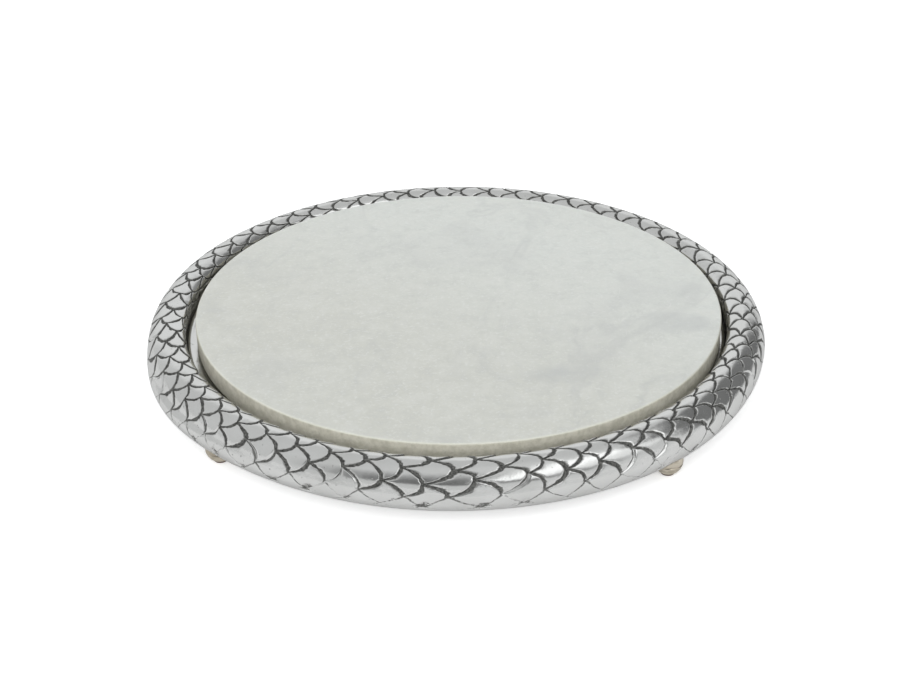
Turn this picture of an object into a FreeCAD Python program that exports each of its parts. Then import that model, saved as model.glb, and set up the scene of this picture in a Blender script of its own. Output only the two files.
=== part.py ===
import FreeCAD, Part
import math
import os

# Round cheese board: a cast metal tray with a fat rounded rim stands on four ball feet,
# and a loose marble slab lies in its well. All sizes are in millimetres.
# Origin: on the table, under the centre of the tray. +Z is up, -Y is the front.

# ---- tray casting ----
tray_radius = 179.5          # outside of the rim at its widest
rim_section_radius = 13.4    # of the rim's round section
rim_clearance = 8.9          # from the table to the underside of the rim
rim_width = 22.5             # from the outside of the rim in to the upright wall of its well
well_shoulder_radius = 4.0   # where the wall meets the top of the rim
well_corner_radius = 2.5     # where the wall meets the floor of the well
floor_top_height = 21.4      # from the table to the floor of the well
floor_thickness = 5.0
underside_corner_radius = 4.0

# ---- marble slab ----
slab_thickness = 12.7
slab_side_gap = 4.6          # all round, between the slab and the wall of the well
slab_shift_x = 1.4           # the loose slab lies a little to the right in its well
slab_top_ease = 2.5          # rounding of the top edge
slab_bottom_ease = 1.0

# ---- bumpers under the slab ----
bumper_radius = 6.0
bumper_height = 1.6
bumper_circle_radius = 120.0
bumper_edge_round = 0.4
bumper_seat_gap = 0.3        # between the bumpers and the floor of the well

# ---- feet ----
foot_outset = 1.5            # the feet stand this far outside the middle of the rim
ball_radius = 8.0
ball_flat_radius = 4.0       # flat ground on the bottom of the ball
foot_pocket_depth = 3.0      # how far the ball reaches up into the rim
foot_pocket_gap = 0.3        # round the ball, inside its pocket
pad_thickness = 1.0
pad_edge_setback = 0.25      # the pad is this much smaller than the flat it is stuck to

# ---- studs that hold the feet ----
stud_radius = 2.5
stud_length_in_foot = 5.5
stud_length_in_rim = 6.5
thread_gap = 0.05
hole_end_gap = 0.5           # past the end of the stud, in both holes

# Corner names and their directions, in degrees from +X.
corners = {"front_left": 225, "front_right": 315, "rear_right": 45, "rear_left": 135}

# ---- worked out from the sizes above ----
rim_circle_radius = tray_radius - rim_section_radius
well_radius = tray_radius - rim_width
rim_centre_height = rim_clearance + rim_section_radius
rim_crest_height = rim_centre_height + rim_section_radius
foot_circle_radius = rim_circle_radius + foot_outset
foot_seat_height = rim_clearance + foot_pocket_depth
ball_centre_height = pad_thickness + math.sqrt(ball_radius**2 - ball_flat_radius**2)
slab_radius = well_radius - slab_side_gap
bumper_bottom_height = floor_top_height + bumper_seat_gap
slab_bottom_height = bumper_bottom_height + bumper_height

UP = FreeCAD.Vector(0, 0, 1)


def on_circle(radius, degrees, height):
    """The point at this radius, direction and height."""
    angle = math.radians(degrees)
    return FreeCAD.Vector(radius * math.cos(angle), radius * math.sin(angle), height)


def level_circles(shape, height):
    """The edges of a round shape that lie flat at this height."""
    return [
        edge
        for edge in shape.Edges
        if abs(edge.BoundBox.ZMin - height) < 1e-6 and abs(edge.BoundBox.ZMax - height) < 1e-6
    ]


def foot_point(direction, height):
    """The point on the axis of the foot in this direction, at this height."""
    return on_circle(foot_circle_radius, direction, height)


def make_tray_body():
    """The round rim with its well bored out, and the floor, in one casting."""
    floor_bottom_height = floor_top_height - floor_thickness
    rim = Part.makeTorus(
        rim_circle_radius, rim_section_radius, FreeCAD.Vector(0, 0, rim_centre_height)
    )
    floor = Part.makeCylinder(
        rim_circle_radius, floor_thickness, FreeCAD.Vector(0, 0, floor_bottom_height)
    )
    well = Part.makeCylinder(
        well_radius, rim_crest_height, FreeCAD.Vector(0, 0, floor_top_height)
    )
    body = rim.fuse(floor).cut(well).removeSplitter()
    shoulder_height = rim_centre_height + math.sqrt(
        rim_section_radius**2 - (rim_circle_radius - well_radius) ** 2
    )
    for radius, height in (
        (well_shoulder_radius, shoulder_height),
        (well_corner_radius, floor_top_height),
        (underside_corner_radius, floor_bottom_height),
    ):
        body = body.makeFillet(radius, level_circles(body, height))
    return body


def make_tray():
    """The casting with a pocket and a tapped hole under its rim for each foot."""
    tray = make_tray_body()
    for direction in corners.values():
        pocket = Part.makeCylinder(
            ball_radius + foot_pocket_gap, foot_seat_height, foot_point(direction, 0)
        )
        stud_hole = Part.makeCylinder(
            stud_radius + thread_gap,
            stud_length_in_rim + hole_end_gap,
            foot_point(direction, foot_seat_height),
        )
        tray = tray.cut(pocket).cut(stud_hole)
    return tray


def make_slab():
    """The marble disc with its eased edges."""
    base = FreeCAD.Vector(slab_shift_x, 0, slab_bottom_height)
    slab = Part.makeCylinder(slab_radius, slab_thickness, base)
    slab = slab.makeFillet(slab_bottom_ease, level_circles(slab, slab_bottom_height))
    return slab.makeFillet(
        slab_top_ease, level_circles(slab, slab_bottom_height + slab_thickness)
    )


def make_bumper(direction):
    """A clear disc stuck under the slab."""
    base = on_circle(bumper_circle_radius, direction, bumper_bottom_height)
    base.x += slab_shift_x
    bumper = Part.makeCylinder(bumper_radius, bumper_height, base)
    return bumper.makeFillet(bumper_edge_round, level_circles(bumper, bumper_bottom_height))


def make_ball_foot(direction):
    """A ball ground flat at both ends, with a tapped hole down from its seat."""
    ball = Part.makeSphere(ball_radius, foot_point(direction, ball_centre_height))
    between_flats = Part.makeCylinder(
        ball_radius + foot_pocket_gap,
        foot_seat_height - pad_thickness,
        foot_point(direction, pad_thickness),
    )
    hole_depth = stud_length_in_foot + hole_end_gap
    stud_hole = Part.makeCylinder(
        stud_radius + thread_gap,
        hole_depth,
        foot_point(direction, foot_seat_height - hole_depth),
    )
    return ball.common(between_flats).cut(stud_hole)


def make_foot_stud(direction):
    """A headless stud, half in the ball and half in the rim."""
    return Part.makeCylinder(
        stud_radius,
        stud_length_in_foot + stud_length_in_rim,
        foot_point(direction, foot_seat_height - stud_length_in_foot),
    )


def make_foot_pad(direction):
    """A soft disc stuck to the flat under the ball."""
    return Part.makeCylinder(
        ball_flat_radius - pad_edge_setback, pad_thickness, foot_point(direction, 0)
    )


def main():
    shapes = {"tray": make_tray(), "marble_slab": make_slab()}
    for corner, direction in corners.items():
        shapes["ball_foot_" + corner] = make_ball_foot(direction)
        shapes["foot_stud_" + corner] = make_foot_stud(direction)
        shapes["foot_pad_" + corner] = make_foot_pad(direction)
        shapes["slab_bumper_" + corner] = make_bumper(direction)
    os.makedirs("parts", exist_ok=True)
    for node, shape in shapes.items():
        shape.exportStep("parts/" + node + ".step")
        print(node, len(shape.Solids), shape.isValid(), round(shape.Volume, 1), shape.BoundBox)


main()
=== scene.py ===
import math

import bpy
import numpy as np
from mathutils import Matrix, Vector


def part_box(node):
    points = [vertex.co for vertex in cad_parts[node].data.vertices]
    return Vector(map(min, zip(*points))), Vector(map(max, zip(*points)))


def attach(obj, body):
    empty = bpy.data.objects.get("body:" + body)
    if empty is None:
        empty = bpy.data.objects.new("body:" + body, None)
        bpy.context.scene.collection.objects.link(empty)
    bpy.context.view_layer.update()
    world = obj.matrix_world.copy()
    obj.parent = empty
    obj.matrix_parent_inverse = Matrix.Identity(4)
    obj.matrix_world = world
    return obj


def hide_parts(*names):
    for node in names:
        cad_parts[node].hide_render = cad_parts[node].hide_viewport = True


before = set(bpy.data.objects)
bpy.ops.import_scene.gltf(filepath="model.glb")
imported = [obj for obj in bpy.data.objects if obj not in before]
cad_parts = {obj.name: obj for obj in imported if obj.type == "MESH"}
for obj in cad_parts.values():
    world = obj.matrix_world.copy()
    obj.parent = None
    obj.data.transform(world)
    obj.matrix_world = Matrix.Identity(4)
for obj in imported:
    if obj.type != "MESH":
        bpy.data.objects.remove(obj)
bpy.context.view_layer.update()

# Round cheese board: a cast metal tray with a fish-scale rim, ball feet and a loose marble
# slab. All lengths are in metres. The front of the board is towards -Y.

CORNERS = ("front_left", "front_right", "rear_right", "rear_left")

# ---- sizes read from the frame ----
tray_low, tray_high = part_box("tray")
slab_low, slab_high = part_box("marble_slab")
bumper_low, bumper_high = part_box("slab_bumper_front_left")

RIM_RADIUS = (tray_high[2] - tray_low[2]) / 2            # of the rim's round section
RIM_Z = (tray_high[2] + tray_low[2]) / 2                 # height of the section's centre
TRAY_RADIUS = min(tray_high[0], tray_high[1], -tray_low[0], -tray_low[1])
RIM_CIRCLE = TRAY_RADIUS - RIM_RADIUS                    # the section's centre runs on this

# ---- sizes of the tray that its box doesn't give ----
WELL_RADIUS = 0.157
WELL_SHOULDER = 0.004        # rounding between the well's wall and the top of the rim
WELL_CORNER = 0.0025         # rounding between the wall and the floor
FLOOR_TOP = bumper_low[2] - 0.0003
FLOOR_THICKNESS = 0.005
UNDERSIDE_CORNER = 0.004
FLAT_STEPS = 400             # points along each of the section's two flat lines
INSET = 0.00005              # the skin lies this far inside the CAD model's surface
SWELL_FRONT = 0.0009         # how far the rim swells low down along the front
SWELL_LEFT = 0.0029          # and how much more at the front left
SWELL_LEFT_AT, SWELL_LEFT_SPREAD = -58, 16    # in degrees from the front

# ---- the scale pattern ----
SCALES_ROUND = 56            # scales in one lane, once round the rim
LANE_SPACING = 0.0070        # from lane to lane, over the surface of the rim
FIRST_LANE_ANGLE = math.radians(9)    # of the lowest whole lane, above the horizontal
LANES_BELOW, LANES_ABOVE = 2, 5       # how far the carved band runs from that lane
SCALE_STEPS = 24             # mesh steps along each side of a scale; a multiple of four
ARC_POWER = 2.7              # 1 is a straight-sided scale; more is rounder
PATTERN_TURN = math.radians(3.53)
PITCH = 2 * math.pi * RIM_CIRCLE / SCALES_ROUND
CUT_DEPTH = 0.0008
CUT_WIDTH, ROOT_CUT_WIDTH = 0.00110, 0.00150    # half widths of a scale's own arcs and its root's
CROWDING = 0.6               # how far mesh steps crowd to the cuts; 0 is evenly spaced


def smooth(x, low, high):
    """0 below low, 1 above high, and a smooth step between."""
    t = np.clip((x - low) / (high - low), 0, 1)
    return t * t * (3 - 2 * t)


def from_front(turn):
    """Degrees round from the front, from -180 to 180, with the left negative."""
    return (np.degrees(turn) - 270 + 180) % 360 - 180


def centre_of(low, high):
    """The middle of a box, seen from above."""
    return (low[0] + high[0]) / 2, (low[1] + high[1]) / 2


def ring_noise(u, v, cells_u, cells_v, seed):
    """Smooth noise from -1 to 1 for u and v from 0 to 1, which joins up round u."""
    table = np.random.default_rng(seed).uniform(-1, 1, (cells_u, cells_v + 2))
    x = u * cells_u
    y = np.clip(v, 0, 1) * cells_v
    xi, yi = np.floor(x).astype(int), np.floor(y).astype(int)
    fx, fy = x - xi, y - yi
    fx, fy = fx * fx * (3 - 2 * fx), fy * fy * (3 - 2 * fy)
    x0, x1 = xi % cells_u, (xi + 1) % cells_u
    low = table[x0, yi] * (1 - fx) + table[x1, yi] * fx
    high = table[x0, yi + 1] * (1 - fx) + table[x1, yi + 1] * fx
    return low * (1 - fy) + high * fy


# ---------------------------------------------------------------- meshes


def new_object(name, points, faces, smooth_faces=True):
    """A mesh object from an array of points and arrays of faces."""
    mesh = bpy.data.meshes.new(name)
    mesh.from_pydata(points.tolist(), [], [f for group in faces for f in group.tolist()])
    mesh.validate()
    if smooth_faces:
        mesh.shade_smooth()
    piece = bpy.data.objects.new(name, mesh)
    bpy.context.scene.collection.objects.link(piece)
    return piece


def stack_rings(name, rings, low_end, high_end):
    """A solid from rings of points, the lowest first, with a fan to a point at each end."""
    count, segments = rings.shape[:2]
    column = np.arange(segments)
    following = (column + 1) % segments
    starts = np.arange(count) * segments
    faces = [
        np.stack([low + column, low + following, high + following, high + column], 1)
        for low, high in zip(starts, starts[1:])
    ]
    low_point, high_point, last = count * segments, count * segments + 1, starts[-1]
    faces.append(np.stack([0 * column + low_point, following, column], 1))
    faces.append(np.stack([0 * column + high_point, last + column, last + following], 1))
    return new_object(name, np.vstack([rings.reshape(-1, 3), [low_end, high_end]]), faces)


def lathe(name, outline, segments, centre):
    """A solid turned about the vertical axis through centre. Its outline runs from the axis
    to the axis, as (radius, height) pairs with the bottom first."""
    radius, height = np.array(outline[1:-1], float).T[:, :, None]
    turn = np.arange(segments) * 2 * math.pi / segments
    across, back = centre[0] + radius * np.cos(turn), centre[1] + radius * np.sin(turn)
    rings = np.stack([across, back, height + 0 * turn], -1)
    return stack_rings(name, rings, (*centre, outline[0][1]), (*centre, outline[-1][1]))


def arc_points(centre, radius, start, end, count):
    """Points along an arc, with angles in degrees."""
    angles = np.radians(np.linspace(start, end, count))
    return [(centre[0] + radius * math.cos(a), centre[1] + radius * math.sin(a)) for a in angles]


# ---------------------------------------------------------------- tray


def tray_profile():
    """The tray's section from the centre of its underside, round the rim, to the centre of
    its floor. Returns arrays of distance along it, radius, height and outward normal, and the
    distance of the first lane of scales."""
    floor_bottom = FLOOR_TOP - FLOOR_THICKNESS
    low_z = floor_bottom - UNDERSIDE_CORNER
    low_r = RIM_CIRCLE - math.sqrt(
        (RIM_RADIUS + UNDERSIDE_CORNER) ** 2 - (RIM_Z - low_z) ** 2
    )
    low_angle = math.atan2(RIM_Z - low_z, RIM_CIRCLE - low_r)
    shoulder_r = WELL_RADIUS + WELL_SHOULDER
    shoulder_z = RIM_Z + math.sqrt(
        (RIM_RADIUS - WELL_SHOULDER) ** 2 - (RIM_CIRCLE - shoulder_r) ** 2
    )
    shoulder_angle = math.atan2(shoulder_z - RIM_Z, shoulder_r - RIM_CIRCLE)
    corner_r, corner_z = WELL_RADIUS - WELL_CORNER, FLOOR_TOP + WELL_CORNER
    rows = []

    def line(start, end, normal, steps):
        for t in np.linspace(0, 1, steps + 1):
            rows.append((*(np.array(start) * (1 - t) + np.array(end) * t), *normal))

    def arc(centre, radius, start, end, side, steps):
        for a in np.linspace(start, end, steps + 1):
            c, s = math.cos(a), math.sin(a)
            rows.append((centre[0] + radius * c, centre[1] + radius * s, side * c, side * s))

    line((0, floor_bottom), (low_r, floor_bottom), (0, -1), FLAT_STEPS)
    arc((low_r, low_z), UNDERSIDE_CORNER, math.pi / 2, low_angle, -1, 60)
    rim_start = len(rows)
    arc((RIM_CIRCLE, RIM_Z), RIM_RADIUS, low_angle - math.pi, shoulder_angle, 1, 1200)
    arc((shoulder_r, shoulder_z), WELL_SHOULDER, shoulder_angle, math.pi, 1, 60)
    line((WELL_RADIUS, shoulder_z), (WELL_RADIUS, corner_z), (-1, 0), 40)
    arc((corner_r, corner_z), WELL_CORNER, 0, -math.pi / 2, -1, 60)
    line((corner_r, FLOOR_TOP), (0, FLOOR_TOP), (0, 1), FLAT_STEPS)
    rows = np.array(rows)
    steps = np.hypot(np.diff(rows[:, 0]), np.diff(rows[:, 1]))
    distance = np.concatenate([[0], np.cumsum(steps + 1e-12)])
    first_lane = distance[rim_start] + RIM_RADIUS * (
        FIRST_LANE_ANGLE - (low_angle - math.pi)
    )
    return distance, rows, first_lane


def bulge(x):
    """How far a point part of the way back along a scale's side stands out sideways."""
    return x - x**ARC_POWER


def arc_distances(a, b, roundness):
    """For points in a scale, how far they lie from its own carved arc and from its
    neighbours' arcs at its root, and how far along those arcs from their tips, 0 to 1.
    Looked up in tables for a round scale and a straight-sided one."""
    steps = 48
    line = np.linspace(0, 1, steps + 1)
    ones = np.ones_like(line)

    def place(x, y, curve):
        along = (x + y) / 2 + curve * (bulge(1 - x) + bulge(1 - y)) / 2
        return np.stack([PITCH * along, LANE_SPACING * (x - y)], -1)

    tables = []
    for curve in (0, 1):
        grid = place(*np.meshgrid(line, line, indexing="ij"), curve)
        for edge in (1, 0):
            curve_points = np.concatenate(
                [place(edge * ones, line, curve), place(line, edge * ones, curve)]
            )
            gaps = np.linalg.norm(grid[:, :, None] - curve_points, axis=-1)
            nearest = gaps.argmin(-1)
            tables += [gaps.min(-1), 1 - np.concatenate([line, line])[nearest]]

    x, y = a * steps, b * steps
    xi, yi = np.minimum(x.astype(int), steps - 1), np.minimum(y.astype(int), steps - 1)
    fx, fy = x - xi, y - yi
    found = [
        (t[xi, yi] * (1 - fy) + t[xi, yi + 1] * fy) * (1 - fx)
        + (t[xi + 1, yi] * (1 - fy) + t[xi + 1, yi + 1] * fy) * fx
        for t in tables
    ]
    return [found[k] * (1 - roundness) + found[k + 4] * roundness for k in range(4)]


def per_scale(table, a, b):
    """What a table of random values holds for the scale, or the tip, at a and b."""
    return table[(a + b) % table.shape[0], (a - b) % table.shape[1]]


def tip_offset(tips, cell_a, cell_b, a, b):
    """The tips of the scales are hand placed, so each one is a little off. The offset is
    smooth from tip to tip."""
    sa, sb = a * a * (3 - 2 * a), b * b * (3 - 2 * b)
    return (
        per_scale(tips, cell_a, cell_b) * ((1 - sa) * (1 - sb))[..., None]
        + per_scale(tips, cell_a + 1, cell_b) * (sa * (1 - sb))[..., None]
        + per_scale(tips, cell_a, cell_b + 1) * ((1 - sa) * sb)[..., None]
        + per_scale(tips, cell_a + 1, cell_b + 1) * (sa * sb)[..., None]
    )


def wander(front, lanes_up):
    """How far the lanes wander: round the rim, in degrees, and up its side, in metres."""
    slip = 1.6 - 4 * (smooth(front, -68, -34) - smooth(front, -4, 14))
    climb = (
        4
        + 27 * smooth(-front, 58, 98) * (1 - smooth(-front, 125, 175))
        - 13 * np.exp(-((front / 8) ** 2))
        - 9 * smooth(front, 70, 110) * (1 - smooth(front, 140, 178))
    )
    squeeze = 0.22 * smooth(front, 38, 55) * (1 - smooth(front, 115, 150))
    hold = smooth(lanes_up, -1.5, 1.2) * (1 - smooth(lanes_up, 2.4, LANES_ABOVE))
    lift = hold * (RIM_RADIUS * np.radians(climb) - squeeze * (lanes_up - 2) * LANE_SPACING)
    droop = smooth(lanes_up, -LANES_BELOW, -0.8) * (1 - smooth(lanes_up, -0.1, 1.1))
    return slip, lift - RIM_RADIUS * math.radians(7) * droop


def carve_arcs(arcs, own_face, whole, faint, wobble):
    """How deep and how dark the carved arcs are, from 0 to 1. Each starts narrow at its tip
    and tapers again to its end."""
    own_gap, own_along, root_gap, root_along = arcs
    depth = np.zeros_like(own_gap)
    dark = np.zeros_like(own_gap)
    for gap, along, wide in (
        (own_gap, own_along, CUT_WIDTH),
        (root_gap, root_along, ROOT_CUT_WIDTH),
    ):
        width = wide * (0.66 + 0.34 * smooth(along, 0, 0.22))
        width = width * (1 - 0.42 * smooth(along, 0.4, 1)) * (1 + 0.18 * own_face[..., 0])
        width = width * (0.38 + 0.62 * whole) * wobble
        cut = 1 - smooth(gap, 0.1 * width, width)
        strength = (0.4 * faint + 0.6 * whole) * (1 - 0.2 * along)
        depth = np.maximum(depth, cut * strength)
        stain = (1 - smooth(gap, 0.5 * width, 1.12 * width)) * faint
        dark = np.maximum(dark, stain * (0.65 + 0.35 * whole))
    return depth, dark


def tool_bites(alpha, beta, front, roughness, luck):
    """Where the lines under the last whole lane cross, the tool often bit in deeper."""
    node_a, node_b = np.rint(alpha), np.rint(beta)
    off_a, off_b = alpha - node_a, beta - node_b
    aside, away = (off_a + off_b) / 2 * PITCH, (off_a - off_b) * LANE_SPACING
    reach = np.hypot((aside - 0.3 * away) / 0.0036, (away - 0.0006) / 0.0034)
    often = 0.42 + 0.5 * smooth(front, -52, -40) * (1 - smooth(front, -16, -6))
    bitten = luck[(node_a + node_b).astype(int) % len(luck)] < often
    return (1 - smooth(reach + roughness, 0.4, 1.05)) * bitten * (node_a - node_b == -1)


def scale_lattice():
    """The carved band as rows of points. A scale is one cell of a diagonal lattice: a runs
    from its root towards the tip on one side, b on the other, and the cell's edges are the
    carved arcs. Returns turn and distance from the first lane for each point, how deep it
    lies below the rim's surface, how dark its antiquing is, and a random tone per scale."""
    n = SCALE_STEPS
    row = np.arange(-LANES_BELOW * n, LANES_ABOVE * n + 1)[:, None]
    total = 2 * np.arange(SCALES_ROUND * n)[None, :] + (row % 2)
    i, j = (total + row) // 2, (total - row) // 2
    inside = smooth(row / n, -LANES_BELOW, -LANES_BELOW + 0.5) * (
        1 - smooth(row / n, LANES_ABOVE - 0.5, LANES_ABOVE)
    )

    def crowd(steps):
        """Steps along a side of a cell, crowded towards the carved edges."""
        x = steps / n
        return x - inside * CROWDING * np.sin(2 * math.pi * x) / (2 * math.pi)

    alpha, beta = crowd(i), crowd(j)
    cell_a, cell_b = i // n, j // n
    a, b = np.clip(alpha - cell_a, 0, 1), np.clip(beta - cell_b, 0, 1)

    rng = np.random.default_rng(5)
    tables = (2 * SCALES_ROUND, 2 * (LANES_BELOW + LANES_ABOVE + 4))
    tips = rng.normal(0, 1, (*tables, 2)).clip(-1.8, 1.8)
    face = rng.uniform(-1, 1, (*tables, 3))
    luck = rng.random(2 * SCALES_ROUND)
    offset = tip_offset(tips, cell_a, cell_b, a, b) * inside[..., None]

    # Below the first lane the arcs run out into straight crossed lines.
    lanes_up = alpha - beta
    roundness = smooth(lanes_up, -0.4, 0.25)
    turns = (alpha + beta) / 2 + roundness * (bulge(1 - a) + bulge(1 - b)) / 2
    turns = turns + 0.045 * offset[..., 0]
    turn = PATTERN_TURN + turns * 2 * math.pi / SCALES_ROUND
    front = from_front(turn)
    slip, lift = wander(front, lanes_up)
    turn = turn + np.radians(slip) * inside
    distance = (lanes_up + 0.10 * offset[..., 1]) * LANE_SPACING + lift

    over = 1 - smooth(lanes_up, 4.4, 4.8)
    whole = smooth(lanes_up, -0.3, 0.4) * over
    faint = smooth(lanes_up, -1.75, -1.1) * over
    around = (turn / (2 * math.pi)) % 1
    up = (lanes_up + LANES_BELOW) / (LANES_BELOW + LANES_ABOVE)
    ragged = ring_noise(around, up, 620, 60, 1)
    coarse = ring_noise(around, up, 330, 16, 2)
    own_face = per_scale(face, cell_a, cell_b)
    arcs = arc_distances(a, b, roundness)
    depth, dark = carve_arcs(arcs, own_face, whole, faint, 1 + 0.32 * ragged + 0.25 * coarse)
    bite = tool_bites(alpha, beta, front, 0.5 * ragged + 0.4 * coarse, luck)
    depth = np.maximum(depth, 0.8 * bite)
    dark = np.maximum(dark, bite * (0.75 + 0.25 * ragged))
    # Here and there a cut has been rubbed bright again.
    rubbed = (np.abs(own_face[..., 1]) > 0.9) * (1 - smooth(lanes_up, 0.8, 1.2))
    dark = dark * (1 - 0.85 * rubbed)

    # Each face is a little domed and tilted its own way, and lies deeper at its root.
    own_gap, _, root_gap, _ = arcs
    edge = 1 - smooth(np.minimum(own_gap, root_gap), 0.0004, 0.0042)
    tilt = own_face[..., 0] * (a - b) * 0.00006 + own_face[..., 1] * (a + b - 1) * 0.00005
    below = (0.00007 * edge + np.maximum(tilt + 0.00008, 0) + (1 - (a + b) / 2) * 0.00012) * whole
    below = below + CUT_DEPTH * depth + 0.00014 * ragged * dark + 0.0002
    below = np.maximum(below * inside + INSET, 0.00002)
    return turn, distance, below, dark * inside, own_face[..., 2] * whole


def casting_swell(turn, angle):
    """The casting isn't quite true: low down it swells, most of all at the front left. The
    angle is the place on the rim's section, above the horizontal. The swell is kept inside
    the box of the CAD model."""
    front = from_front(turn)
    swell = SWELL_FRONT * (1 - smooth(np.abs(front), 40, 80)) + SWELL_LEFT * np.exp(
        -(((front - SWELL_LEFT_AT) / SWELL_LEFT_SPREAD) ** 2)
    )
    swell = swell * smooth(np.degrees(angle), 16, -14)
    room_down = RIM_RADIUS * (1 / np.maximum(-np.sin(angle), 0.01) - 1)
    square = np.maximum(np.abs(np.cos(turn)), np.abs(np.sin(turn)))
    room_out = (TRAY_RADIUS / square - RIM_CIRCLE) / np.maximum(np.cos(angle), 0.01) - RIM_RADIUS
    return np.clip(swell, 0, 0.9 * np.minimum(room_down, room_out)) * (angle > -math.pi / 2)


def make_tray():
    """The casting: the carved band as a lattice, and plain rings over the rest."""
    path, section, first_lane = tray_profile()
    turn, distance, below, dark, tone = scale_lattice()
    columns = turn.shape[1]
    band_low = first_lane - LANES_BELOW * LANE_SPACING
    band_high = first_lane + LANES_ABOVE * LANE_SPACING

    def spaced(start, end, fine, coarse, grow):
        """Distances from start to end with steps that grow from fine to coarse."""
        steps, here, step = [], 0.0, fine
        while here + step < abs(end - start) - step / 2:
            here += step
            steps.append(here)
            step = min(step * grow, coarse)
        return start + np.sign(end - start) * np.array(steps)

    def on_floor(radius):
        return radius * np.array([0.9, 0.72, 0.5, 0.3, 0.14, 0.05])

    under_edge, floor_edge = path[FLAT_STEPS], path[-FLAT_STEPS - 1]
    under = spaced(band_low, under_edge, 0.0007, 0.0020, 1.15)
    over = spaced(band_high, floor_edge, 0.0004, 0.0012, 1.2)
    under_rings = np.concatenate([under, [under_edge], on_floor(under_edge)])[::-1]
    floor_width = path[-1] - floor_edge
    over_rings = np.concatenate([over, [floor_edge], path[-1] - on_floor(floor_width)])

    def with_plain(band, low, high):
        """The band's values, between those of the plain rings below and above it."""
        return np.vstack(
            [
                np.broadcast_to(low, (len(under_rings), columns)),
                band,
                np.broadcast_to(high, (len(over_rings), columns)),
            ]
        )

    lattice_rows = len(turn)
    turn = with_plain(turn, turn[0], turn[-1])
    along = with_plain(first_lane + distance, under_rings[:, None], over_rings[:, None])
    below = with_plain(below, INSET, INSET)
    dark, tone = with_plain(dark, 0, 0), with_plain(tone, 0, 0)
    angle = FIRST_LANE_ANGLE + (along - first_lane) / RIM_RADIUS
    below = below - casting_swell(turn, angle)

    radius, height, out_r, out_z = (np.interp(along, path, section[:, k]) for k in range(4))
    radius, height = radius - below * out_r, height - below * out_z
    points = np.stack([radius * np.cos(turn), radius * np.sin(turn), height], -1)
    points = points.reshape(-1, 3)
    centres = [(0, 0, section[0, 1]), (0, 0, section[-1, 1])]
    low_centre, high_centre = len(points), len(points) + 1
    points = np.vstack([points, centres])

    column = np.arange(columns)
    following = (column + 1) % columns

    def at(row, col):
        return row * columns + col

    faces = []
    first = len(under_rings)
    last = first + lattice_rows - 1
    for row in [*range(first), *range(last, len(turn) - 1)]:
        corners = [at(row, column), at(row, following), at(row + 1, following), at(row + 1, column)]
        faces.append(np.stack(corners, 1))
    # Diamonds of the lattice: left, bottom, right and top corners, on three rows. Each second
    # row is half a step on, and the band's first and last rows hold half diamonds.
    for row in range(first, last + 1):
        middle = column if (row - first) % 2 == 0 else following
        left, right = at(row, column), at(row, following)
        corners = [left, at(row - 1, middle), right, at(row + 1, middle)]
        if row == first:
            corners = [left, right, at(row + 1, middle)]
        elif row == last:
            corners = corners[:3]
        faces.append(np.stack(corners, 1))
    end = len(turn) - 1
    faces.append(np.stack([0 * column + low_centre, at(0, following), at(0, column)], 1))
    faces.append(np.stack([0 * column + high_centre, at(end, column), at(end, following)], 1))
    tray = new_object("tray_casting", points, faces)
    for name, values in (("antique", dark), ("tone", tone)):
        layer = tray.data.attributes.new(name, "FLOAT", "POINT")
        layer.data.foreach_set("value", np.append(values.ravel(), [0, 0]).astype(np.float32))
    return tray


# ---------------------------------------------------------------- material building


class Graph:
    """A short way to build a node tree. An input may be a socket or a plain value."""

    def __init__(self, tree):
        self.tree = tree
        self.tree.nodes.clear()

    def join(self, source, target):
        self.tree.links.new(source, target)

    def put(self, target, value):
        if isinstance(value, bpy.types.NodeSocket):
            self.join(value, target)
        else:
            target.default_value = value

    def node(self, kind, inputs=None, **settings):
        made = self.tree.nodes.new(kind)
        for key, value in settings.items():
            setattr(made, key, value)
        for key, value in (inputs or {}).items():
            self.put(made.inputs[key], value)
        return made

    def span(self, value, low, high, to_low=0.0, to_high=1.0):
        """Value from low to high, mapped to to_low to to_high and held there."""
        return self.node(
            "ShaderNodeMapRange",
            {0: value, 1: low, 2: high, 3: to_low, 4: to_high},
            interpolation_type="SMOOTHSTEP",
        ).outputs[0]

    def maths(self, operation, first, second=0.0):
        return self.node("ShaderNodeMath", {0: first, 1: second}, operation=operation).outputs[0]

    def both(self, *masks):
        """Where all the masks hold: their product."""
        product = masks[0]
        for mask in masks[1:]:
            product = self.maths("MULTIPLY", product, mask)
        return product

    def vector(self, operation, inputs, output="Vector"):
        return self.node("ShaderNodeVectorMath", inputs, operation=operation).outputs[output]

    def mix(self, amount, first, second):
        """first where amount is 0, second where it is 1."""
        mix = self.node("ShaderNodeMix", data_type="FLOAT")
        sockets = [s for s in mix.inputs if s.type == "VALUE"][:3]
        for socket, value in zip(sockets, (amount, first, second)):
            self.put(socket, value)
        return [s for s in mix.outputs if s.type == "VALUE"][0]

    def blend(self, amount, first, second):
        """The same for two colours."""
        mix = self.node("ShaderNodeMix", data_type="RGBA")
        self.put(mix.inputs["Factor"], amount)
        self.put(mix.inputs["A"], first)
        self.put(mix.inputs["B"], second)
        return mix.outputs["Result"]


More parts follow.
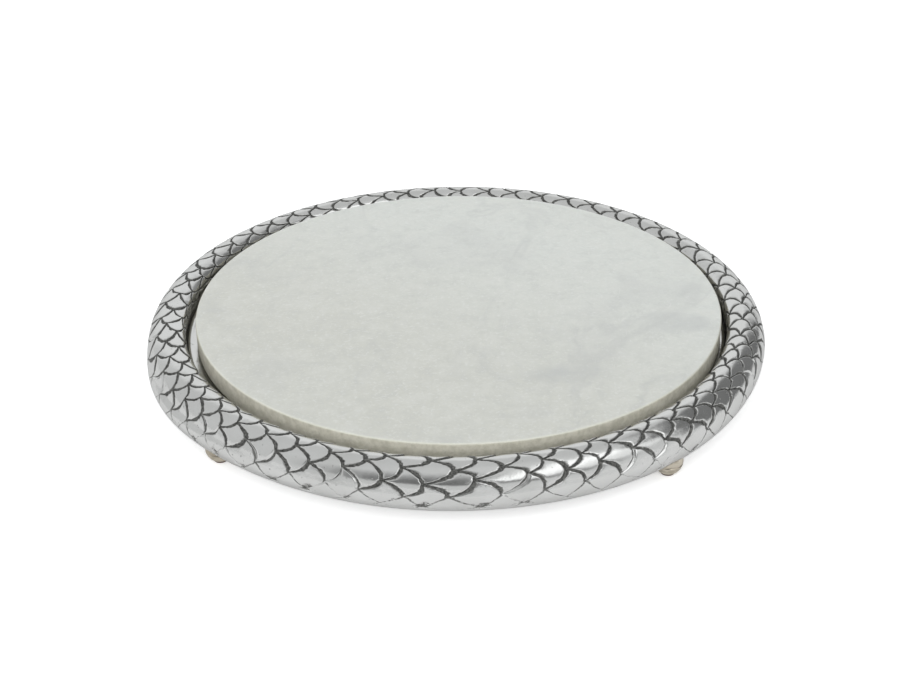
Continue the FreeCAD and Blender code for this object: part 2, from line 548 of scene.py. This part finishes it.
class Nodes(Graph):
    """The node tree of one material, around one shader."""

    def __init__(self, name):
        self.material = bpy.data.materials.new(name)
        self.material.use_nodes = True
        super().__init__(self.material.node_tree)
        self.output = self.node("ShaderNodeOutputMaterial")
        self.shader = self.node("ShaderNodeBsdfPrincipled")
        self.join(self.shader.outputs[0], self.output.inputs[0])

    def place(self, scale=(1, 1, 1)):
        """The object's own coordinates, in metres, stretched by scale."""
        coordinates = self.node("ShaderNodeTexCoord").outputs["Object"]
        mapping = self.node("ShaderNodeMapping", {"Vector": coordinates, "Scale": scale})
        return mapping.outputs[0]

    def noise(self, vector, scale, detail=3.0, rough=0.5, distort=0.0, output="Fac"):
        inputs = {"Vector": vector, "Scale": scale, "Detail": detail}
        inputs.update({"Roughness": rough, "Distortion": distort})
        return self.node("ShaderNodeTexNoise", inputs).outputs[output]

    def attribute(self, name):
        return self.node("ShaderNodeAttribute", attribute_name=name).outputs["Fac"]

    def bump(self, height, distance, strength=1.0, under=None):
        inputs = {"Height": height, "Distance": distance, "Strength": strength}
        if under is not None:
            inputs["Normal"] = under
        return self.node("ShaderNodeBump", inputs).outputs[0]

    def finish(self, **sockets):
        for name, value in sockets.items():
            self.put(self.shader.inputs[name.replace("_", " ")], value)
        return self.material


def grey(level, tint=(1, 1, 1)):
    return (level * tint[0], level * tint[1], level * tint[2], 1)


def cast_aluminium():
    """Polished cast metal, with dark antiquing in what is carved, pits and fine scratches."""
    m = Nodes("cast_aluminium")
    place = m.place()
    antique = m.attribute("antique")
    tone = m.attribute("tone")
    grain = m.noise(place, 1100, 4, 0.6)
    cloud = m.noise(place, 45, 3)
    ripple = m.noise(place, 150, 2, 0.45)
    specks = m.node("ShaderNodeTexVoronoi", {"Vector": place, "Scale": 330}).outputs["Distance"]
    pit_zone = m.span(m.noise(place, 70, 2), 0.5, 0.64)
    pits = m.maths("MULTIPLY", m.span(specks, 0.20, 0.08), pit_zone)
    scratch = m.noise(m.place((60, 60, 700)), 18, 2, 0.5, 1.5)
    ragged = m.maths("ADD", antique, m.maths("MULTIPLY", m.maths("SUBTRACT", grain, 0.5), 1.7))
    dirt = m.maths("MAXIMUM", m.span(ragged, 0.30, 0.78), m.maths("MULTIPLY", pits, 0.6))
    bright = m.blend(m.span(cloud, 0.3, 0.7), grey(0.70, (1, 1, 0.985)), grey(0.75, (1, 1, 0.99)))
    bright = m.blend(m.span(tone, -1, 1, 0, 0.12), bright, grey(0.60, (1, 1, 0.98)))
    dull = m.blend(m.span(grain, 0.35, 0.65), grey(0.045, (1, 1, 0.95)), grey(0.19, (1, 1, 0.95)))
    polish = m.span(cloud, 0.25, 0.75, 0.12, 0.2)
    waves = m.bump(ripple, 0.0003, 0.42, m.bump(cloud, 0.0006, 0.35))
    lines = m.bump(scratch, 0.00004, 0.25, waves)
    return m.finish(
        Base_Color=m.blend(dirt, bright, dull),
        Metallic=m.mix(dirt, 1.0, 0.5),
        Roughness=m.mix(dirt, polish, 0.6),
        Specular_Tint=(0.8, 0.8, 0.8, 1),
        Normal=m.bump(grain, 0.0002, m.mix(dirt, 0.06, 0.9), lines),
    )


def smudges(m, place, mottle):
    """Masks of two soft grey smudges of mineral, on the right of the slab."""
    shake = m.noise(place, 28.0, 3.0, output="Color")
    shift = m.vector("SUBTRACT", {0: shake, 1: (0.5, 0.5, 0.5)})
    loose = m.vector("ADD", {0: place, 1: m.vector("SCALE", {0: shift, "Scale": 0.045})})
    masks = []
    for (x, y), (long, wide) in (
        ((0.062, -0.085), (0.034, 0.015)),
        ((0.128, -0.021), (0.026, 0.012)),
    ):
        moved, stretch = (-x / long, -y / wide, 0), (1 / long, 1 / wide, 0)
        inputs = {"Vector": loose, "Location": moved, "Scale": stretch}
        near = m.node("ShaderNodeMapping", inputs).outputs[0]
        reach = m.vector("LENGTH", {0: near}, "Value")
        masks.append(m.both(m.span(reach, 1.0, 0.1), m.span(mottle, 0.3, 0.6, 0.2, 0.55)))
    return masks


def marble():
    """Honed pale marble: a crystalline grain, soft clouds, grey patches and a faint vein."""
    m = Nodes("marble")
    place = m.place()
    clouds = m.noise(place, 11, 5, 0.6, 0.4)
    patches = m.span(m.noise(place, 17, 3, 0.5, 0.6), 0.56, 0.72)
    mottle = m.noise(place, 95, 5, 0.7, 0.3)
    sugar = m.noise(place, 260, 4, 0.7)
    flecks = m.noise(place, 520, 3, 0.6)
    crystal = m.node("ShaderNodeTexVoronoi", {"Vector": place, "Scale": 480}).outputs["Color"]
    grain = m.node("ShaderNodeSeparateColor", {"Color": crystal}).outputs["Red"]
    line = m.noise(m.place((1, 0.5, 1)), 10, 4, 0.6, 0.9)
    vein = m.span(m.maths("ABSOLUTE", m.maths("SUBTRACT", line, 0.53)), 0.0, 0.03, 1.0, 0.0)
    vein = m.both(vein, m.span(clouds, 0.45, 0.65), 0.2)
    cut = m.noise(m.place((300, 14, 14)), 3.0, 2, 0.5, 2.0)
    scratch = m.both(m.span(cut, 0.70, 0.76), m.span(clouds, 0.4, 0.6), 0.4)
    # Painted light and shade: the slab's top is coloured darker and warmer towards the front left
    # and lighter and cooler towards the back right. The soft clouds add real variation between the
    # same two tones.
    across = m.node("ShaderNodeSeparateXYZ", {0: place}).outputs
    back_right = m.maths("ADD", m.maths("MULTIPLY", across["X"], 0.6), across["Y"])
    painted_light_toward_back_right = m.span(back_right, -0.10, 0.12, 0.0, 0.75)
    warm_and_shaded, cool_and_lit = (0.640, 0.640, 0.585, 1), (0.715, 0.738, 0.705, 1)
    colour = m.blend(m.maths("ADD", painted_light_toward_back_right, m.maths("MULTIPLY", clouds, 0.4)), warm_and_shaded, cool_and_lit)
    for amount, tone in (
        (m.span(mottle, 0.42, 0.68, 0.0, 0.45), (0.76, 0.765, 0.73, 1)),
        (m.span(mottle, 0.5, 0.3, 0.0, 0.45), (0.585, 0.595, 0.57, 1)),
        (m.span(sugar, 0.55, 0.72, 0.0, 0.35), (0.56, 0.57, 0.545, 1)),
        (m.span(flecks, 0.52, 0.72, 0.0, 0.5), (0.83, 0.84, 0.82, 1)),
        (m.maths("MULTIPLY", grain, 0.2), (0.60, 0.61, 0.58, 1)),
        (m.maths("MULTIPLY", patches, 0.25), (0.55, 0.56, 0.55, 1)),
        *((smudge, (0.50, 0.515, 0.515, 1)) for smudge in smudges(m, place, mottle)),
        (vein, (0.45, 0.46, 0.46, 1)),
        (scratch, (0.84, 0.84, 0.83, 1)),
    ):
        colour = m.blend(amount, colour, tone)
    # The sawn edge isn't polished. It is coloured darker and yellower than the top, and the
    # rounding of the top is coloured a little yellower.
    top = m.node("ShaderNodeNewGeometry").outputs["Normal"]
    upright = m.node("ShaderNodeSeparateXYZ", {0: top}).outputs["Z"]
    side = m.span(upright, 0.75, 0.3)
    edge = m.blend(m.span(sugar, 0.3, 0.7), (0.50, 0.485, 0.405, 1), (0.65, 0.63, 0.545, 1))
    colour = m.blend(m.span(upright, 0.99, 0.85, 0.0, 0.7), colour, (0.66, 0.655, 0.575, 1))
    colour = m.blend(side, colour, edge)
    return m.finish(
        Base_Color=colour,
        Roughness=m.mix(side, m.span(mottle, 0.2, 0.8, 0.30, 0.46), 0.6),
        Normal=m.bump(flecks, 0.00004, 0.3, m.bump(mottle, 0.0001, 0.15)),
        Specular_IOR_Level=0.5,
        IOR=1.52,
        Subsurface_Weight=0.35,
        Subsurface_Radius=(0.6, 0.6, 0.55),
        Subsurface_Scale=0.006,
    )


def champagne_metal():
    m = Nodes("champagne_metal")
    place = m.place()
    cloud = m.noise(place, 160, 3)
    turned = m.noise(m.place((1, 1, 60)), 60, 2)
    return m.finish(
        Base_Color=m.blend(m.span(cloud, 0.3, 0.7), (0.46, 0.41, 0.33, 1), (0.68, 0.62, 0.52, 1)),
        Metallic=1.0,
        Roughness=m.span(cloud, 0.2, 0.8, 0.14, 0.26),
        Normal=m.bump(turned, 0.00005, 0.3),
    )


def zinc_steel():
    m = Nodes("zinc_steel")
    cloud = m.noise(m.place(), 700, 3)
    return m.finish(
        Base_Color=m.blend(m.span(cloud, 0.3, 0.7), grey(0.42), grey(0.55, (1, 1, 1.03))),
        Metallic=1.0,
        Roughness=m.span(cloud, 0.2, 0.8, 0.28, 0.45),
        Normal=m.bump(cloud, 0.00005, 0.3),
    )


def brown_rubber():
    m = Nodes("brown_rubber")
    grain = m.noise(m.place(), 1600, 3)
    return m.finish(
        Base_Color=m.blend(grain, (0.10, 0.065, 0.05, 1), (0.17, 0.115, 0.085, 1)),
        Roughness=m.span(grain, 0.2, 0.8, 0.6, 0.8),
        Normal=m.bump(grain, 0.00006, 0.5),
    )


def clear_silicone():
    m = Nodes("clear_silicone")
    cloud = m.noise(m.place(), 500, 2)
    return m.finish(
        Base_Color=m.blend(cloud, (0.74, 0.77, 0.76, 1), (0.84, 0.86, 0.85, 1)),
        Roughness=m.span(cloud, 0.2, 0.8, 0.22, 0.34),
        Transmission_Weight=0.55,
        IOR=1.41,
        Normal=m.bump(cloud, 0.00005, 0.3),
    )


# ---------------------------------------------------------------- pieces


def dress(piece, material, body, slot, *nodes):
    """Gives a piece its material, and says what it rides on and stands for."""
    piece.data.materials.append(material)
    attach(piece, body)
    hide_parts(*nodes)
    return piece


def make_slab():
    """The marble disc, with its edges eased."""
    low, high = slab_low[2], slab_high[2]
    top_ease, bottom_ease, inset = 0.0011, 0.001, 0.00002
    radius = (slab_high[1] - slab_low[1]) / 2 - inset
    outline = [(0, low)]
    outline += [(radius * k / 6, low) for k in range(1, 6)]
    outline += arc_points((radius - bottom_ease, low + bottom_ease), bottom_ease, -90, 0, 6)
    outline += [(radius, low + k * (high - low) / 8) for k in range(2, 6)]
    outline += arc_points((radius - top_ease, high - top_ease), top_ease, 0, 90, 12)
    outline += [(radius - 0.004, high), (radius - 0.008, high)]
    outline += [(radius * k / 12, high) for k in range(11, 0, -1)]
    outline += [(0, high)]
    return lathe("marble_slab_top", outline, 720, centre_of(slab_low, slab_high))


def make_foot(corner):
    """A ball cut flat below, with two fine lines turned round it."""
    low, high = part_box("ball_foot_" + corner)
    radius = (high[0] - low[0]) / 2
    flat, line_depth = 0.004, 0.0006
    line_angles, line_spread = (-6, -36), 5    # in degrees; the angles are up from the middle
    middle = low[2] + math.sqrt(radius**2 - flat**2)
    top = math.degrees(math.asin((high[2] - middle) / radius))
    bottom = -math.degrees(math.acos(flat / radius))
    outline = [(0, low[2]), (flat * 0.6, low[2])]
    for r, z in arc_points((0, middle), radius, bottom, top, 64):
        tilt = math.degrees(math.asin((z - middle) / radius))
        near = (max(0.0, 1 - ((tilt - at) / line_spread) ** 2) for at in line_angles)
        cut = line_depth * sum(near)
        share = 1 - cut / radius
        outline.append((r * share, middle + (z - middle) * share))
    outline += [(radius * 0.5, high[2]), (0, high[2])]
    return lathe("foot_ball_" + corner, outline, 96, centre_of(low, high))


def make_stud(corner):
    """A stud with its thread cut as a helix between two short plain ends."""
    low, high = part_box("foot_stud_" + corner)
    centre = centre_of(low, high)
    radius, pitch, thread = (high[0] - low[0]) / 2, 0.0008, 0.0004
    segments, steps = 48, 121
    height = np.linspace(low[2], high[2], steps)[:, None]
    turn = np.arange(segments) * 2 * math.pi / segments
    phase = (height / pitch - turn / (2 * math.pi)) % 1
    fade = smooth(height, low[2], low[2] + pitch) * (1 - smooth(height, high[2] - pitch, high[2]))
    ring = radius - thread * np.abs(2 * phase - 1) * 0.95 * fade
    ring = np.where(fade < 0.02, radius - thread * 0.5, ring)
    across, back = centre[0] + ring * np.cos(turn), centre[1] + ring * np.sin(turn)
    rings = np.stack([across, back, height + 0 * turn], -1)
    return stack_rings("foot_thread_" + corner, rings, (*centre, low[2]), (*centre, high[2]))


def make_disc(name, node, rounding, crown=0.0):
    """A soft disc that fills a node's box, with rounded rims. Its underside is hollow by crown."""
    low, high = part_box(node)
    radius = (high[0] - low[0]) / 2
    outline = [(0, low[2] + crown), (radius * 0.4, low[2] + crown), (radius * 0.7, low[2])]
    outline += arc_points((radius - rounding, low[2] + rounding), rounding, -90, 0, 7)
    outline += arc_points((radius - rounding, high[2] - rounding), rounding, 0, 90, 7)
    outline += [(radius * 0.5, high[2]), (0, high[2])]
    return lathe(name, outline, 64, centre_of(low, high))


# ---------------------------------------------------------------- studio


def photo_camera():
    """The camera: how far it stands, in tray radii, how high and how far round, in degrees,
    and how much it is turned from looking straight at the middle of the slab's top."""
    distance = 5 * TRAY_RADIUS
    elevation, azimuth = math.radians(27.82), math.radians(3.9)
    swing, tip, roll = math.radians(0.25), math.radians(-1.32), math.radians(0.57)
    place = Vector((0, -distance * math.cos(elevation), distance * math.sin(elevation)))
    forward = -place.normalized()
    right = Vector((1, 0, 0))
    up = right.cross(forward)
    for angle, axis in ((swing, up), (tip, right), (roll, forward)):
        turn = Matrix.Rotation(angle, 3, axis.copy())
        forward, right, up = turn @ forward, turn @ right, turn @ up
    data = bpy.data.cameras.new("camera")
    data.sensor_width = 36
    data.lens = 61.4165
    data.clip_start, data.clip_end = 0.01, 50
    camera = bpy.data.objects.new("camera", data)
    look = Matrix((right, up, -forward)).transposed().to_4x4()
    look.translation = place
    swing_round = Matrix.Rotation(azimuth, 4, "Z")
    lift = Matrix.Translation((0, 0, slab_high[2]))
    camera.matrix_world = lift @ swing_round @ look
    bpy.context.scene.collection.objects.link(camera)
    bpy.context.scene.camera = camera


def make_floor():
    """A wide white floor. The camera and the metal see it lifted to white, less its shadow."""
    points = np.array([(-4, -4, 0), (4, -4, 0), (4, 4, 0), (-4, 4, 0)], float)
    floor = new_object("studio_floor", points, [np.array([[0, 1, 2, 3]])], False)
    m = Nodes("floor_white")
    rays = m.node("ShaderNodeLightPath")
    colour = m.blend(rays.outputs["Is Camera Ray"], grey(0.78), grey(1.0))
    m.finish(Base_Color=colour, Roughness=1.0, Specular_IOR_Level=0.0)
    lift, mirrored_lift = 0.42, 0.12
    seen = m.maths("MULTIPLY", rays.outputs["Is Camera Ray"], lift)
    mirrored = m.maths("MULTIPLY", rays.outputs["Is Glossy Ray"], mirrored_lift)
    glow = m.node("ShaderNodeEmission", {"Color": (1, 1, 1, 1)})
    m.join(m.maths("ADD", seen, mirrored), glow.inputs["Strength"])
    add = m.node("ShaderNodeAddShader", {0: m.shader.outputs[0], 1: glow.outputs[0]})
    m.join(add.outputs[0], m.output.inputs[0])
    floor.data.materials.append(m.material)


def make_lamp():
    """A wide soft lamp in front, which the metal doesn't mirror."""
    data = bpy.data.lights.new("front_soft", "SUN")
    data.energy = 1.5
    data.angle = math.radians(50)
    lamp = bpy.data.objects.new("front_soft", data)
    lamp.matrix_world = Vector((-0.15, -0.9, 0.6)).to_track_quat("Z", "Y").to_matrix().to_4x4()
    lamp.visible_glossy = False
    bpy.context.scene.collection.objects.link(lamp)


def make_world():
    """A white studio with a light table below, a bright window behind, dark room to the right
    and straight in front, and a softbox high on the front right. The camera sees white."""
    world = bpy.data.worlds.new("studio")
    bpy.context.scene.world = world
    world.use_nodes = True
    g = Graph(world.node_tree)
    direction = g.node("ShaderNodeTexCoord").outputs["Generated"]
    x, y, z = g.node("ShaderNodeSeparateXYZ", {0: direction}).outputs

    # The light table's edge: below the horizon at the back, well above it in front.
    edge = g.node("ShaderNodeMapRange", {0: y, 1: 0.6, 2: -0.9, 3: -0.03, 4: 0.33}).outputs[0]
    over_edge = g.span(g.maths("SUBTRACT", z, edge), -0.012, 0.012)
    table = g.span(x, -0.3, 0.3, 0.68, 0.75)
    overhead = g.both(g.span(y, 0.1, 0.35), g.span(z, 0.45, 0.6))
    light = g.mix(overhead, table, 0.66)
    window = g.both(g.span(y, 0.62, 0.76), g.span(z, 0.66, 0.5))
    light = g.mix(window, light, 0.92)
    # The room in front darkens towards the middle and leaves its far left end light.
    front = g.both(over_edge, g.span(y, -0.05, -0.3), g.span(x, -0.9, -0.32))
    light = g.mix(front, light, g.span(y, -0.86, -0.25, 0.2, 0.72))
    right = g.both(over_edge, g.span(x, 0.16, 0.34), g.span(y, 0.90, 0.80))
    right = g.both(right, g.span(z, 0.86, 0.76), g.span(y, -0.16, 0.04))
    light = g.mix(right, light, 0.21)
    # The softbox hangs level overhead; p and q are places on its plane.
    height = g.maths("MAXIMUM", z, 0.2)
    p, q = g.maths("DIVIDE", x, height), g.maths("DIVIDE", y, height)
    softbox = g.both(g.span(z, 0.44, 0.49), g.span(p, 0.26, 0.44), g.span(p, 1.9, 1.7))
    softbox = g.both(softbox, g.span(q, 0.06, -0.08))
    light = g.mix(softbox, light, g.span(p, 0.55, 1.1, 1.5, 1.0))

    rays = g.node("ShaderNodeLightPath")
    seen = g.node("ShaderNodeBackground", {"Color": (1, 1, 1, 1), "Strength": 1.0})
    lit = g.node("ShaderNodeBackground", {"Color": (0.985, 1.0, 1.0, 1), "Strength": light})
    inputs = {0: rays.outputs["Is Camera Ray"], 1: lit.outputs[0], 2: seen.outputs[0]}
    mixer = g.node("ShaderNodeMixShader", inputs)
    g.node("ShaderNodeOutputWorld", {"Surface": mixer.outputs[0]})


# ---------------------------------------------------------------- the model

dress(make_tray(), cast_aluminium(), "tray", "tray_metal", "tray")
dress(make_slab(), marble(), "slab", "marble", "marble_slab")
foot_metal, stud_metal, pad_rubber, silicone = (
    champagne_metal(),
    zinc_steel(),
    brown_rubber(),
    clear_silicone(),
)
for corner in CORNERS:
    dress(make_foot(corner), foot_metal, "tray", "foot_metal", "ball_foot_" + corner)
    dress(make_stud(corner), stud_metal, "tray", "stud_steel", "foot_stud_" + corner)
    pad = make_disc("foot_disc_" + corner, "foot_pad_" + corner, 0.0002)
    dress(pad, pad_rubber, "tray", "pad_rubber", "foot_pad_" + corner)
    bumper = make_disc("bumper_disc_" + corner, "slab_bumper_" + corner, 0.0004, 0.0002)
    dress(bumper, silicone, "slab", "clear_bumper", "slab_bumper_" + corner)

make_floor()
make_lamp()
make_world()
photo_camera()
bpy.context.scene.view_settings.view_transform = "Standard"
